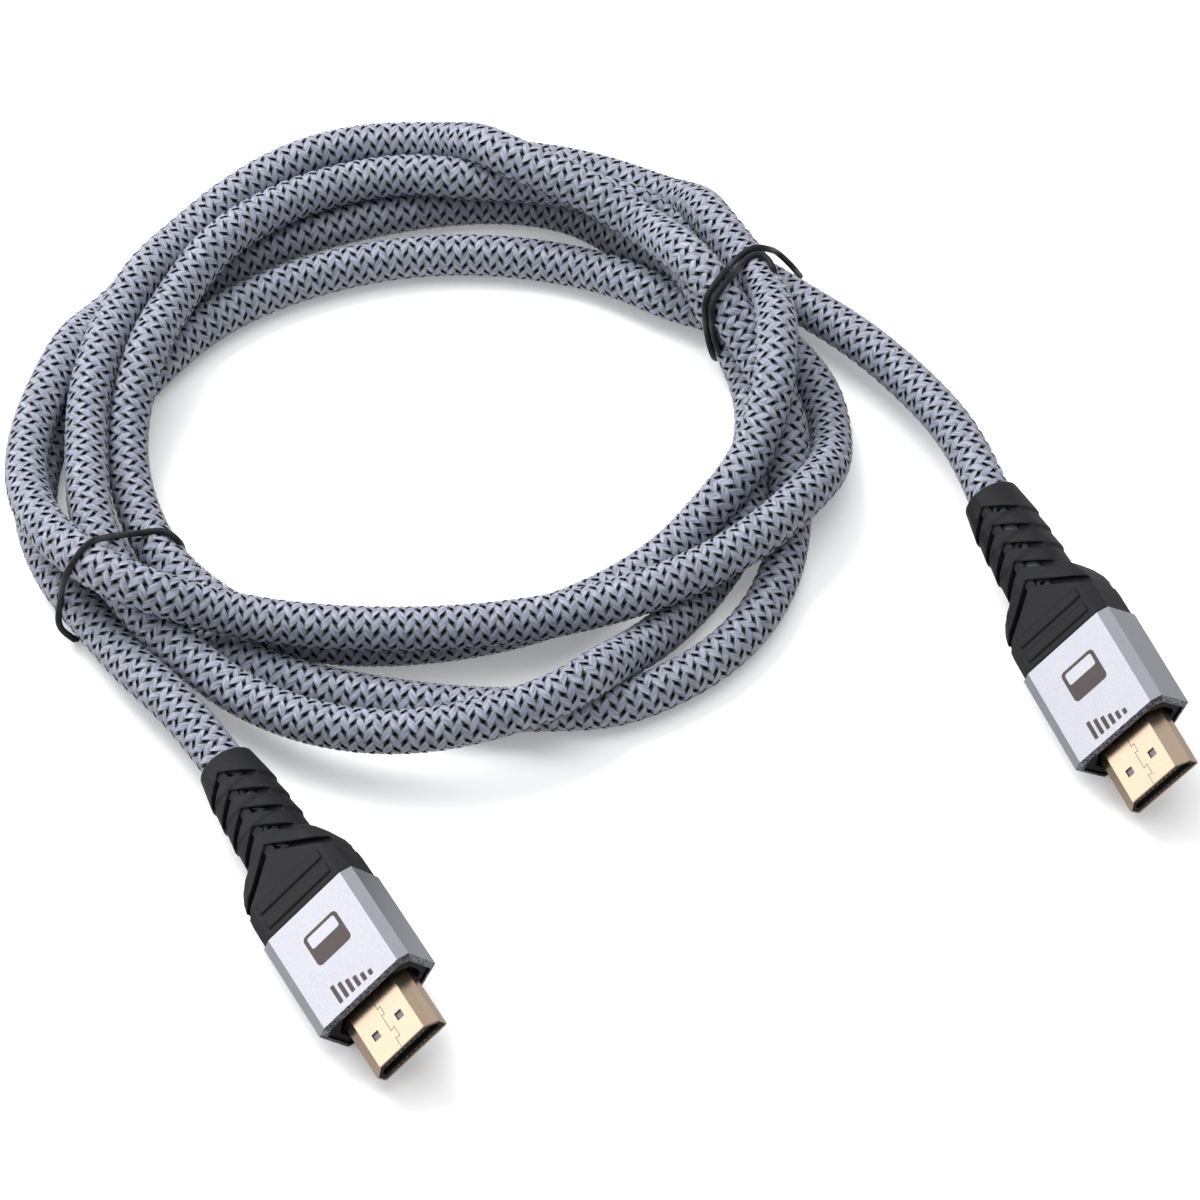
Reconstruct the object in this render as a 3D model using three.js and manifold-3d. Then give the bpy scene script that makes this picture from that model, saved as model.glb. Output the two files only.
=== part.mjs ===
// Digital video cable, two 19-contact plugs on a braided cord, lying coiled with two ties.
// Millimetres, +Z up. The coil's own frame has its origin at the coil's centre, on the surface that it lies on.
// A plug's own frame has x to the tip, y to the left, z up, and its origin where the shell's axis leaves the housing.
import * as THREE from 'three';
import { mergeVertices } from 'three/addons/utils/BufferGeometryUtils.js';
import Module from 'manifold-3d';

const wasm = await Module();
wasm.setup();

// Clearances between pieces
const FIT = 0.15; // parts pressed or moulded together
const SEAT = 0.3; // faces that meet end to end
const CUT = 4; // how far a cutter runs past the surface that it opens

// Contact shell of the plug
const SHELL_WIDTH = 13.9;
const SHELL_HEIGHT = 4.45;
const SHELL_WALL = 0.3;
const SHELL_REACH = 10.1; // in front of the housing
const SHELL_ROOT = 8; // inside the housing
const SHELL_FLAT = 9.8; // width of the narrow face
const SHELL_STEP_IN = 0.9; // from the side to the middle of its double bevel
const SHELL_STEP_UP = 1.1; // height of that middle above the shell's axis
const SHELL_SIDE_TOP = 0.3; // height of the side's top above the shell's axis
const SHELL_CORNER = 0.5; // round edge along the wide face
const LATCH_SIZE = 1.3;
const LATCH_SPACING = 5.1;
const LATCH_BACK = 4.7; // from the shell's front edge to the middle of the latch holes

// Insulator with its tongue slot and contact channels
const INSULATOR_RECESS = 0.25;
const TONGUE_WIDTH = 12;
const TONGUE_HEIGHT = 1.8;
const TONGUE_DEPTH = 8.5;
const TONGUE_DROP = 0.25; // middle of the tongue slot below the shell's axis
const TONGUE_BEVEL = 0.8;
const CONTACT_PITCH = 1;
const WIDE_ROW = 10; // contacts along the wide face
const NARROW_ROW = 9; // contacts along the narrow face
const ROW_OFFSET = 1.28; // from the middle of the tongue slot to a row of channels
const CHANNEL_WIDTH = 0.55;
const CHANNEL_HEIGHT = 0.25;
const CHANNEL_DEPTH = 1.5;

// Housing sleeve of drawn aluminium
const HOUSING_LENGTH = 19.6;
const HOUSING_TOP = 4.9; // above the shell's axis
const HOUSING_BOTTOM = 5.95; // below the shell's axis
const HOUSING_WIDTH = 20.1;
const HOUSING_TOP_FLAT = 16.4;
const HOUSING_TOP_BEVEL = 1.05; // height of the bevels beside the top flat
const HOUSING_BOTTOM_FLAT = 11.8;
const HOUSING_BOTTOM_BEVEL = 1.8;
const HOUSING_WALL = 0.9;
const HOUSING_EDGE = 0.55; // polished chamfer round the front

// Inner core that fills the housing and holds the shell
const CORE_RECESS = 0.4;
const POCKET_ROOM = 1; // open space round the shell in the core's front
const POCKET_DEPTH = 3;

// Strain relief boot
const CORD_DIAMETER = 7.7;
const BORE_CLEARANCE = 0.3;
const CORD_DROP = 0.3; // the cord's axis below the shell's
const BOOT_LENGTH = 33.2; // from the housing to the cord
const BOOT_INSET = 0.3; // the boot's shoulder is this much smaller than the housing
const SHOULDER_LENGTH = 13.6;
const WAIST_WIDTH = 12.4;
const RELIEF_HEIGHT = 9.9;
const RELIEF_SQUARE = 0.72; // 1 is a round section, less is squarer
const MOUTH_DIAMETER = 9.9;
const MOUTH_ROUND = 0.35;
const BORE_LENGTH = 26; // how far the cord goes into the boot
const BORE_SIDES = 20;
const SLOT_COUNT = 5;
const SLOT_PITCH = 4.12;
const SLOT_WIDTH = 1.35; // along the boot
const SLOT_SWEEP = 0.7; // how far a slot's legs run to the tip for each millimetre to the side
const SLOT_FIRST = 3.7; // from the boot's mouth to the first slot's point
const SPINE_WIDTH = 2; // bridge across the middle of each slot, on the top and the bottom
const SPINE_DROP = 0.4; // from the ribs down to that bridge
const RAIL_HEIGHT = 5.8; // uncut strip along each side
const RIB_SWELL = 0.3; // how much a rib stands out at its plug end
const BAR_LENGTH = 14;
const BAR_WIDTH = 1.8;
const BAR_RISE = 0.25;
const BAR_PITCH = 3;
const BAR_FIRST = 2.2; // from the housing to the first bar's middle
const SPOKE_SPACING = 2.2; // between points round the shoulder's section

// Coil: an oval bundle of four turns, with a fifth pass at the left and the top
const COIL_LENGTH = 151; // outside, along X
const COIL_DEPTH = 134.6; // outside, along Y
const COIL_HOLE_LENGTH = 106;
const COIL_HOLE_DEPTH = 79;
const COIL_HEIGHT = 15.6;
const COIL_LOBES = 6; // turns that show round the bundle's section
const COIL_GROOVE = 0.07; // depth of the grooves between them, of the section's size
const COIL_SQUARE = 0.72; // 1 is a round section, less is squarer
const COIL_STEPS = 56;
const COIL_SECTION_POINTS = 20;
const TIE_LIFT_SPREAD = 0.3; // radians of the coil that rise over a tie

// Ties
const TIE_WIRE = 1.4;
const TIE_A_STRANDS = 1;
const TIE_B_STRANDS = 2;
const TIE_A_ANGLE = 214; // degrees round the coil
const TIE_B_ANGLE = 29;
const TIE_FLOOR_GAP = 0.1;
const TIE_STEPS = 28;
const TIE_SIDES = 8;

// Poses of the plugs: the place of their front in the coil's frame, heading, tip-up pitch and roll
const PLUG_A = { x: -6.5, y: -120.6, heading: -60.2, pitch: 0.8, roll: 33.8 };
const PLUG_B = { x: 116.9, y: -72.6, heading: -67.4, pitch: -2.3, roll: 45.6 };

// Routes of the two tails from the boots to the coil, in the coil's frame, as they lie
const TAIL_A_ROUTE = [[-37.7, -66.8, 8.2], [-41.3, -61.8, 7.8], [-44.9, -56.6, 7.8]];
const TAIL_B_ROUTE = [[94.3, -11.8, 11.9], [91.3, -5, 10.8], [88.1, 0.5, 9.8], [84.7, 5.8, 8.9], [79.4, 13.1, 8.2],
  [74.9, 19.5, 7.8]];
const TAIL_A_ENTRY = 200; // degrees round the coil where the tail has come to its middle
const TAIL_B_ENTRY = 48;
const TUBE_SIDES = 10;
const TUBE_STEP = 2; // diameters

const BOOT_FRONT = -(HOUSING_LENGTH + SEAT);
const BOOT_MOUTH = BOOT_FRONT - BOOT_LENGTH;

const finish = (color, roughness, metalness) => new THREE.MeshStandardMaterial({ color, roughness, metalness });
const goldPlate = finish(0xd9bd8a, 0.3, 1);
const brushedAluminium = finish(0xc9cad2, 0.42, 1);
const insulatorBlack = finish(0x2a2a2d, 0.6, 0);
const coreBlack = finish(0x18181a, 0.55, 0);
const bootBlack = finish(0x222226, 0.7, 0);
const greyBraid = finish(0x83868f, 0.75, 0);
const tieBlack = finish(0x161616, 0.5, 0);

const radians = THREE.MathUtils.degToRad;
const range = (count) => Array.from({ length: count }, (_, i) => i);

// Closed geometry from points and triangles, turned inside out if its volume comes out negative
function closedGeometry(points, triangles) {
  let volume = 0;
  for (const [a, b, c] of triangles) {
    volume += points[a].dot(new THREE.Vector3().crossVectors(points[b], points[c]));
  }
  const outward = volume > 0 ? triangles : triangles.map(([a, b, c]) => [a, c, b]);
  const geometry = new THREE.BufferGeometry().setFromPoints(points);
  geometry.setIndex(outward.flat());
  return geometry;
}

// Faces between neighbouring rings of points; a closed row of rings joins its last ring to its first
function ringFaces(ringCount, size, closed) {
  const faces = [];
  for (const r of range(closed ? ringCount : ringCount - 1)) {
    const next = (r + 1) % ringCount;
    for (const i of range(size)) {
      const j = (i + 1) % size;
      const [a, b, c, d] = [r * size + i, r * size + j, next * size + j, next * size + i];
      faces.push([a, b, c], [a, c, d]);
    }
  }
  return faces;
}

// A loop of rings without ends, such as a sleeve with its wall or a bundle laid in a ring
function loopSolid(rings) {
  return closedGeometry(rings.flat(), ringFaces(rings.length, rings[0].length, true));
}

// A row of rings with a flat cap at each end
function cappedSolid(rings) {
  const size = rings[0].length;
  const points = rings.flat();
  const faces = ringFaces(rings.length, size, false);
  const caps = [[0, false], [rings.length - 1, true]];
  for (const [r, reversed] of caps) {
    const outline = rings[r].map((p) => new THREE.Vector2(p.y, p.z));
    for (const [a, b, c] of THREE.ShapeUtils.triangulateShape(outline, [])) {
      const flip = THREE.ShapeUtils.isClockWise(outline) !== reversed;
      const face = flip ? [a, b, c] : [a, c, b];
      faces.push(face.map((i) => r * size + i));
    }
  }
  return closedGeometry(points, faces);
}

function toManifold(geometry) {
  const bare = geometry.clone();
  bare.deleteAttribute('normal');
  bare.deleteAttribute('uv');
  const merged = mergeVertices(bare, 1e-4);
  const vertProperties = new Float32Array(merged.attributes.position.array);
  const triVerts = new Uint32Array(merged.index.array);
  return new wasm.Manifold(new wasm.Mesh({ numProp: 3, vertProperties, triVerts }));
}

function fromManifold(solid) {
  const mesh = solid.getMesh();
  const geometry = new THREE.BufferGeometry();
  geometry.setAttribute('position', new THREE.BufferAttribute(mesh.vertProperties, 3));
  geometry.setIndex(new THREE.BufferAttribute(mesh.triVerts, 1));
  return geometry;
}

// Geometry with some pieces added and then others cut away
function carved(geometry, cutters, additions = []) {
  let solid = toManifold(geometry);
  for (const addition of additions) solid = solid.add(toManifold(addition));
  for (const cutter of cutters) solid = solid.subtract(toManifold(cutter));
  return fromManifold(solid);
}

function box(x, y, z, at) {
  return new THREE.BoxGeometry(x, y, z).translate(...at);
}

// A section in a plug's own frame: a list of [y, z] pairs placed at x
const atX = (x, outline) => outline.map(([y, z]) => new THREE.Vector3(x, y, z));

// Right half of an outline, bottom to top, made whole by its mirror image
const mirrored = (half) => [...half, ...half.toReversed().map(([y, z]) => [-y, z])];

// Shell's section, shrunk all round by inset
function shellOutline(inset) {
  const side = SHELL_WIDTH / 2 - inset;
  const low = -SHELL_HEIGHT / 2 + inset;
  const corner = Math.max(SHELL_CORNER - inset, SHELL_CORNER / 3);
  const diagonal = corner * (1 - Math.SQRT1_2);
  return mirrored([
    [side - corner, low],
    [side - diagonal, low + diagonal],
    [side, low + corner],
    [side, SHELL_SIDE_TOP - inset / 2],
    [side - SHELL_STEP_IN, SHELL_STEP_UP - inset / 2],
    [SHELL_FLAT / 2 - inset / 2, SHELL_HEIGHT / 2 - inset],
  ]);
}

// Housing's section, shrunk all round by inset
function housingOutline(inset) {
  const side = HOUSING_WIDTH / 2 - inset;
  const top = HOUSING_TOP - inset;
  const bottom = -HOUSING_BOTTOM + inset;
  return mirrored([
    [HOUSING_BOTTOM_FLAT / 2 - inset / 2, bottom],
    [side, bottom + HOUSING_BOTTOM_BEVEL],
    [side, top - HOUSING_TOP_BEVEL],
    [HOUSING_TOP_FLAT / 2 - inset / 2, top],
  ]);
}

function shellGeometry() {
  const lip = SHELL_WALL / 2;
  const tube = loopSolid([
    atX(SHELL_REACH, shellOutline(lip)),
    atX(SHELL_REACH - lip, shellOutline(0)),
    atX(-SHELL_ROOT, shellOutline(0)),
    atX(-SHELL_ROOT, shellOutline(SHELL_WALL)),
    atX(SHELL_REACH - lip, shellOutline(SHELL_WALL)),
  ]);
  const holes = [-1, 1].map((side) => box(LATCH_SIZE, LATCH_SIZE, SHELL_HEIGHT + CUT,
    [SHELL_REACH - LATCH_BACK, side * LATCH_SPACING / 2, 0]));
  return carved(tube, holes);
}

function tongueOutline() {
  const side = TONGUE_WIDTH / 2;
  const top = -TONGUE_DROP + TONGUE_HEIGHT / 2;
  return mirrored([
    [side, top - TONGUE_HEIGHT],
    [side, top - TONGUE_BEVEL],
    [side - TONGUE_BEVEL, top],
  ]);
}

function insulatorGeometry() {
  const inset = SHELL_WALL + FIT;
  const front = SHELL_REACH - INSULATOR_RECESS;
  const block = cappedSolid([atX(front, shellOutline(inset)), atX(-SHELL_ROOT, shellOutline(inset))]);
  const tongue = cappedSolid([atX(front + CUT, tongueOutline()), atX(front - TONGUE_DEPTH, tongueOutline())]);
  const row = (count, height) => range(count).map((i) => box(CHANNEL_DEPTH * 2, CHANNEL_WIDTH, CHANNEL_HEIGHT,
    [front, (i - (count - 1) / 2) * CONTACT_PITCH, height]));
  const wideRow = row(WIDE_ROW, -TONGUE_DROP - ROW_OFFSET);
  const narrowRow = row(NARROW_ROW, -TONGUE_DROP + ROW_OFFSET);
  return carved(block, [tongue, ...wideRow, ...narrowRow]);
}

function housingGeometry() {
  return loopSolid([
    atX(0, housingOutline(HOUSING_EDGE)),
    atX(-HOUSING_EDGE, housingOutline(0)),
    atX(-HOUSING_LENGTH, housingOutline(0)),
    atX(-HOUSING_LENGTH, housingOutline(HOUSING_WALL)),
    atX(0, housingOutline(HOUSING_WALL)),
  ]);
}

function coreGeometry() {
  const outline = housingOutline(HOUSING_WALL + FIT);
  const block = cappedSolid([atX(-CORE_RECESS, outline), atX(-HOUSING_LENGTH, outline)]);
  const pocket = shellOutline(-POCKET_ROOM);
  const socket = shellOutline(-FIT);
  return carved(block, [
    cappedSolid([atX(CUT, pocket), atX(-CORE_RECESS - POCKET_DEPTH, pocket)]),
    cappedSolid([atX(CUT, socket), atX(-SHELL_ROOT - FIT, socket)]),
  ]);
}

// A rounded section's half size in a direction: square 1 is an ellipse, less is closer to a rectangle
function roundedReach(angle, width, height, square) {
  const power = 2 / square;
  const across = (Math.abs(Math.cos(angle)) * 2 / width) ** power;
  const up = (Math.abs(Math.sin(angle)) * 2 / height) ** power;
  return (across + up) ** (-1 / power);
}

// Points round the shoulder's front, at its corners and evenly between them
function shoulderPoints() {
  const outline = housingOutline(BOOT_INSET);
  return outline.flatMap(([y, z], i) => {
    const [nextY, nextZ] = outline[(i + 1) % outline.length];
    const parts = Math.ceil(Math.hypot(nextY - y, nextZ - z) / SPOKE_SPACING);
    return range(parts).map((k) => [
      THREE.MathUtils.lerp(y, nextY, k / parts),
      THREE.MathUtils.lerp(z, nextZ, k / parts),
    ]);
  });
}

// The boot's outside: a shoulder as wide as the housing, drawn in to a slender relief with ribs
function bootBody() {
  const spokes = shoulderPoints().map(([y, z]) => ({
    angle: Math.atan2(z + CORD_DROP, y),
    reach: Math.hypot(z + CORD_DROP, y),
  }));
  const section = (x, width, height, draw, square = RELIEF_SQUARE) => atX(x, spokes.map(({ angle, reach }) => {
    const size = THREE.MathUtils.lerp(reach, roundedReach(angle, width, height, square), draw);
    return [Math.cos(angle) * size, Math.sin(angle) * size - CORD_DROP];
  }));
  const waist = BOOT_FRONT - SHOULDER_LENGTH;
  const shoulder = [0, 0.3, 0.5, 0.65, 0.8, 0.9, 1].map((t) =>
    section(BOOT_FRONT - t * SHOULDER_LENGTH, WAIST_WIDTH, RELIEF_HEIGHT, t ** 4));
  const widthAt = (x) => THREE.MathUtils.mapLinear(x, waist, BOOT_MOUTH, WAIST_WIDTH, MOUTH_DIAMETER);
  const ribs = slotApexes().toReversed().flatMap((apex) => {
    const side = apex + SLOT_SWEEP * widthAt(apex) / 2;
    if (side > waist - SLOT_WIDTH) return [];
    const width = widthAt(side);
    return [
      section(side, width, RELIEF_HEIGHT, 1),
      section(side - SLOT_WIDTH / 2, width + 2 * RIB_SWELL, RELIEF_HEIGHT + RIB_SWELL, 1),
    ];
  });
  const lip = MOUTH_DIAMETER - 2 * MOUTH_ROUND;
  return cappedSolid([
    ...shoulder,
    ...ribs,
    section(BOOT_MOUTH + MOUTH_ROUND, MOUTH_DIAMETER, MOUTH_DIAMETER, 1, 1),
    section(BOOT_MOUTH, lip, lip, 1, 1),
  ]);
}

// Where the slots' points lie along the boot
function slotApexes() {
  return range(SLOT_COUNT).map((i) => BOOT_MOUTH + SLOT_FIRST + i * SLOT_PITCH);
}

// A chevron through the top (up 1) or the bottom (up -1) of the relief, without the bridge across its middle
function slotCutter(apex, up) {
  const far = WAIST_WIDTH / 2 + CUT;
  const swept = apex + SLOT_SWEEP * far;
  const half = SLOT_WIDTH / 2;
  const plan = [[apex - half, 0], [swept - half, far], [swept + half, far], [apex + half, 0],
    [swept + half, -far], [swept - half, -far]];
  const layer = (z) => plan.map(([x, y]) => new THREE.Vector3(x, y, z));
  const rail = -CORD_DROP + up * RAIL_HEIGHT / 2;
  const top = -CORD_DROP + up * (RELIEF_HEIGHT / 2 + CUT);
  const bridgeTop = RELIEF_HEIGHT / 2 - SPINE_DROP;
  const bridge = box(SLOT_WIDTH + CUT, SPINE_WIDTH, bridgeTop, [apex, 0, -CORD_DROP + up * bridgeTop / 2]);
  return carved(prism(layer(rail), layer(top)), [bridge]);
}

function bootGeometry() {
  const radius = CORD_DIAMETER / 2 + BORE_CLEARANCE;
  const circle = new THREE.Path().absarc(0, -CORD_DROP, radius, 0, 2 * Math.PI);
  const boreOutline = circle.getSpacedPoints(BORE_SIDES).slice(1).map((p) => [p.x, p.y]);
  const bore = cappedSolid([atX(BOOT_MOUTH - CUT, boreOutline), atX(BOOT_MOUTH + BORE_LENGTH, boreOutline)]);
  const slots = slotApexes().flatMap((apex) => [1, -1].map((up) => slotCutter(apex, up)));
  const barTop = HOUSING_TOP - BOOT_INSET + BAR_RISE;
  const bars = range(2).map((i) => box(BAR_WIDTH, BAR_LENGTH, 2 * BAR_RISE,
    [BOOT_FRONT - BAR_FIRST - i * BAR_PITCH, 0, barTop - BAR_RISE]));
  return carved(bootBody(), [bore, ...slots], bars);
}

// A prism between two like outlines, one above the other
function prism(lower, upper) {
  const size = lower.length;
  const faces = ringFaces(2, size, false);
  const outline = lower.map((p) => new THREE.Vector2(p.x, p.y));
  const sense = THREE.ShapeUtils.isClockWise(outline) ? -1 : 1;
  for (const [a, b, c] of THREE.ShapeUtils.triangulateShape(outline, [])) {
    const [first, last] = sense > 0 ? [b, c] : [c, b];
    faces.push([a, last, first], [a + size, first + size, last + size]);
  }
  return closedGeometry([...lower, ...upper], faces);
}

// The bundle's section at an angle round the coil: its middle, half widths and the height of its underside
function coilSection(angle) {
  const [c, s] = [Math.cos(angle), Math.sin(angle)];
  const outer = new THREE.Vector2(COIL_LENGTH / 2 * c, COIL_DEPTH / 2 * s);
  const inner = new THREE.Vector2(COIL_HOLE_LENGTH / 2 * c, COIL_HOLE_DEPTH / 2 * s);
  const lift = [TIE_A_ANGLE, TIE_B_ANGLE].map((tie) => {
    const away = Math.atan2(Math.sin(angle - radians(tie)), Math.cos(angle - radians(tie)));
    return (TIE_WIRE + SEAT + TIE_FLOOR_GAP) * Math.exp(-((away / TIE_LIFT_SPREAD) ** 4));
  });
  return {
    middle: outer.clone().add(inner).multiplyScalar(0.5),
    across: outer.clone().sub(inner).normalize(),
    halfWidth: outer.distanceTo(inner) / 2,
    underside: Math.max(...lift),
  };
}

// The coil as one solid, with room left round it where it cuts the tails
function coilGeometry(room = 0) {
  const rings = range(COIL_STEPS).map((i) => {
    const { middle, across, halfWidth, underside } = coilSection(i * 2 * Math.PI / COIL_STEPS);
    const halfHeight = (COIL_HEIGHT - underside) / 2;
    return range(COIL_SECTION_POINTS).map((j) => {
      const turn = j * 2 * Math.PI / COIL_SECTION_POINTS;
      const [c, s] = [Math.cos(turn), Math.sin(turn)];
      const groove = 1 - COIL_GROOVE * (1 + Math.cos(COIL_LOBES * turn)) / 2;
      const out = Math.sign(c) * Math.abs(c) ** COIL_SQUARE * (halfWidth * groove + room);
      const up = Math.sign(s) * Math.abs(s) ** COIL_SQUARE * (halfHeight * groove + room);
      return new THREE.Vector3(middle.x + across.x * out, middle.y + across.y * out, underside + halfHeight + up);
    });
  });
  return loopSolid(rings);
}

// A tie of one or more wires side by side, closed round the bundle
function tieGeometry(degrees, strands) {
  const { middle, across, halfWidth, underside } = coilSection(radians(degrees));
  const along = new THREE.Vector3(-across.y, across.x, 0);
  const halfHeight = (COIL_HEIGHT - underside) / 2;
  const room = SEAT + TIE_WIRE / 2;
  const rings = range(TIE_STEPS).map((i) => {
    const turn = i * 2 * Math.PI / TIE_STEPS;
    const [c, s] = [Math.cos(turn), Math.sin(turn)];
    const out = Math.sign(c) * Math.abs(c) ** COIL_SQUARE;
    const up = Math.sign(s) * Math.abs(s) ** COIL_SQUARE;
    return range(TIE_SIDES).map((j) => {
      const around = (j + 0.5) * 2 * Math.PI / TIE_SIDES;
      const size = TIE_WIRE / 2 / Math.cos(Math.PI / TIE_SIDES);
      const outward = room + Math.cos(around) * size;
      const aside = along.clone().multiplyScalar(Math.sin(around) * size * strands);
      const reach = out * (halfWidth + outward);
      return new THREE.Vector3(middle.x + across.x * reach, middle.y + across.y * reach,
        underside + halfHeight + up * (halfHeight + outward)).add(aside);
    });
  });
  return loopSolid(rings);
}

// A plug's group, set down so that its lowest edge touches the surface
function plugGroup(name, pose) {
  const group = new THREE.Group();
  const pieces = [
    ['shell', shellGeometry(), goldPlate],
    ['insulator', insulatorGeometry(), insulatorBlack],
    ['core', coreGeometry(), coreBlack],
    ['housing', housingGeometry(), brushedAluminium],
    ['boot', bootGeometry(), bootBlack],
  ];
  for (const [piece, geometry, material] of pieces) {
    const mesh = new THREE.Mesh(geometry, material);
    mesh.name = `${name}_${piece}`;
    group.add(mesh);
  }
  const [pitch, roll] = [radians(pose.pitch), radians(pose.roll)];
  const drop = HOUSING_WIDTH / 2 * Math.sin(roll) + (HOUSING_BOTTOM - HOUSING_BOTTOM_BEVEL) * Math.cos(roll);
  const tail = Math.max(0, HOUSING_LENGTH * Math.sin(pitch));
  const nose = Math.max(0, HOUSING_EDGE * Math.sin(pitch));
  group.rotation.set(roll, -pitch, radians(pose.heading), 'ZYX');
  group.position.set(pose.x, pose.y, drop * Math.cos(pitch) + tail - nose);
  group.updateMatrixWorld(true);
  return group;
}

// The tail runs straight through the boot, along its route and up to the coil's outside
function tailGeometry(plug, route, entry) {
  const inBoot = [BORE_LENGTH - SEAT, BORE_LENGTH / 2, 0, -CORD_DIAMETER / 2].map((depth) =>
    new THREE.Vector3(BOOT_MOUTH + depth, 0, -CORD_DROP).applyMatrix4(plug.matrixWorld));
  const { middle } = coilSection(radians(entry));
  const inCoil = new THREE.Vector3(middle.x, middle.y, COIL_HEIGHT / 2);
  const points = [...inBoot, ...route.map((p) => new THREE.Vector3(...p)), inCoil];
  const path = new THREE.CatmullRomCurve3(points, false, 'centripetal');
  const circle = new THREE.Shape().absarc(0, 0, CORD_DIAMETER / 2, 0, 2 * Math.PI);
  const outline = new THREE.Shape(circle.getSpacedPoints(TUBE_SIDES).slice(0, -1));
  const steps = Math.ceil(path.getLength() / (TUBE_STEP * CORD_DIAMETER)) * 2;
  const tube = new THREE.ExtrudeGeometry(outline, { steps, extrudePath: path, bevelEnabled: false });
  return carved(tube, [coilGeometry(SEAT)]);
}

function named(name, geometry, material) {
  const mesh = new THREE.Mesh(geometry, material);
  mesh.name = name;
  return mesh;
}

const plugA = plugGroup('plug_a', PLUG_A);
const plugB = plugGroup('plug_b', PLUG_B);
const tieA = named('tie_a', tieGeometry(TIE_A_ANGLE, TIE_A_STRANDS), tieBlack);
const tieB = named('tie_b', tieGeometry(TIE_B_ANGLE, TIE_B_STRANDS), tieBlack);
const coil = named('cable_coil', coilGeometry(), greyBraid);
const tailA = named('cable_tail_a', tailGeometry(plugA, TAIL_A_ROUTE, TAIL_A_ENTRY), greyBraid);
const tailB = named('cable_tail_b', tailGeometry(plugB, TAIL_B_ROUTE, TAIL_B_ENTRY), greyBraid);

const assembly = new THREE.Group();
assembly.add(plugA, plugB, tieA, tieB);

// The origin is the bottom middle of what the cord joins: its plugs and its ties
assembly.updateMatrixWorld(true);
const extent = new THREE.Box3().setFromObject(assembly, true);
const middle = extent.getCenter(new THREE.Vector3());
assembly.add(coil, tailA, tailB);
assembly.position.set(-middle.x, -middle.y, -extent.min.z);
assembly.updateMatrixWorld(true);

export default assembly;
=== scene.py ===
"""Braided audio and video cable with two plugs, lying as an oval coil under two wire ties."""
import logging
import math
from collections.abc import Callable
from dataclasses import dataclass, replace
from enum import Enum

import bpy
import numpy as np
from mathutils import Matrix, Vector


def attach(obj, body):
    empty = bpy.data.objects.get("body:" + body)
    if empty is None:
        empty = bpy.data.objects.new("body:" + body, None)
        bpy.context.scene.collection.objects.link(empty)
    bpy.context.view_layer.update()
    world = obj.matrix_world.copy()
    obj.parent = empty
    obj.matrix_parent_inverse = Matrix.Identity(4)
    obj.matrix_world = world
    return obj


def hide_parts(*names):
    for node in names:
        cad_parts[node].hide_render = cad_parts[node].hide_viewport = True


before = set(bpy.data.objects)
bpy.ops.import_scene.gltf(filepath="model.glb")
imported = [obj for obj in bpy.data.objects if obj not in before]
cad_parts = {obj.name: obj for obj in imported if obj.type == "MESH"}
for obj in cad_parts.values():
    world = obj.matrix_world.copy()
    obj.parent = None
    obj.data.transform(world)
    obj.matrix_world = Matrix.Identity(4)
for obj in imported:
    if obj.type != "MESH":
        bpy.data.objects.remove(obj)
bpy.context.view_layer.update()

log = logging.getLogger("cable")
MM = 0.001


@dataclass(frozen=True)
class CameraSize:
    """Place and lens of the camera, in millimetres and degrees."""

    elevation: float = 53.32
    roll: float = 0.81
    distance: float = 685.1
    target: tuple[float, float, float] = (-1.93, 13.88, 0)
    lens: float = 119.04
    sensor: float = 36


@dataclass(frozen=True)
class CordSize:
    """The cord and the oval that its turns follow, in millimetres."""

    diameter: float = 7.7
    semi_x: float = 64.2
    semi_y: float = 53.4
    centre: tuple[float, float, float] = (-31.2275, 48.8830, 0.0077)
    read_height: float = 8.0
    step: float = 2.5
    tie_angles: tuple[float, float] = (213, 33)
    tie_lift: float = 1.3
    tie_spread: float = 17
    bundle_reach: float = 1.4


@dataclass(frozen=True)
class SettleSize:
    """How the cord's line is eased: counts of rounds, and shares of what is to be moved in each."""

    rounds_before: int = 20
    rounds: int = 300
    rounds_after: int = 6
    held_more: int = 6
    push: float = 0.16
    pull: float = 0.02
    spread_rounds: int = 3
    apart: float = 2.5


@dataclass(frozen=True)
class BraidSize:
    """The braid round the cord, in millimetres."""

    carriers: int = 8
    lay: float = 22.0
    width: float = 1.4
    crown: float = 0.09
    over: float = 0.16
    core_radius: float = 3.3
    core_sides: int = 14
    samples: int = 4
    phase: float = 0.125
    flatness: float = 1.5
    offset: float = 37.0


@dataclass(frozen=True)
class PlugSize:
    """What the plugs' added pieces need of the plugs' sizes, in millimetres."""

    shell_half_height: float = 2.225
    insulator_front: float = 9.85
    housing_top: float = 4.9
    housing_edge: float = 0.55
    rim_overlap: float = 0.05
    tongue_drop: float = 0.25
    row_offset: float = 1.28
    pitch: float = 1.0
    wide_row: int = 10
    narrow_row: int = 9
    contact: tuple[float, float, float] = (1.45, 0.42, 0.16)
    contact_back: float = 0.72
    contact_bevel: float = 0.03
    latch: tuple[float, float, float] = (1.2, 1.2, 0.1)
    latch_at: tuple[float, float, float] = (5.4, 2.55, 1.86)
    latch_bevel: float = 0.02
    cord_drop: float = 0.3
    boot_mouth: float = -53.1
    cord_in_boot: float = 25.7


@dataclass(frozen=True)
class PanelSize:
    """A thin panel on the housing's top, in millimetres; lift is how far its middle is over the top."""

    length: float
    width: float
    thick: float
    x: float
    y: float
    lift: float
    corner: float


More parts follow.
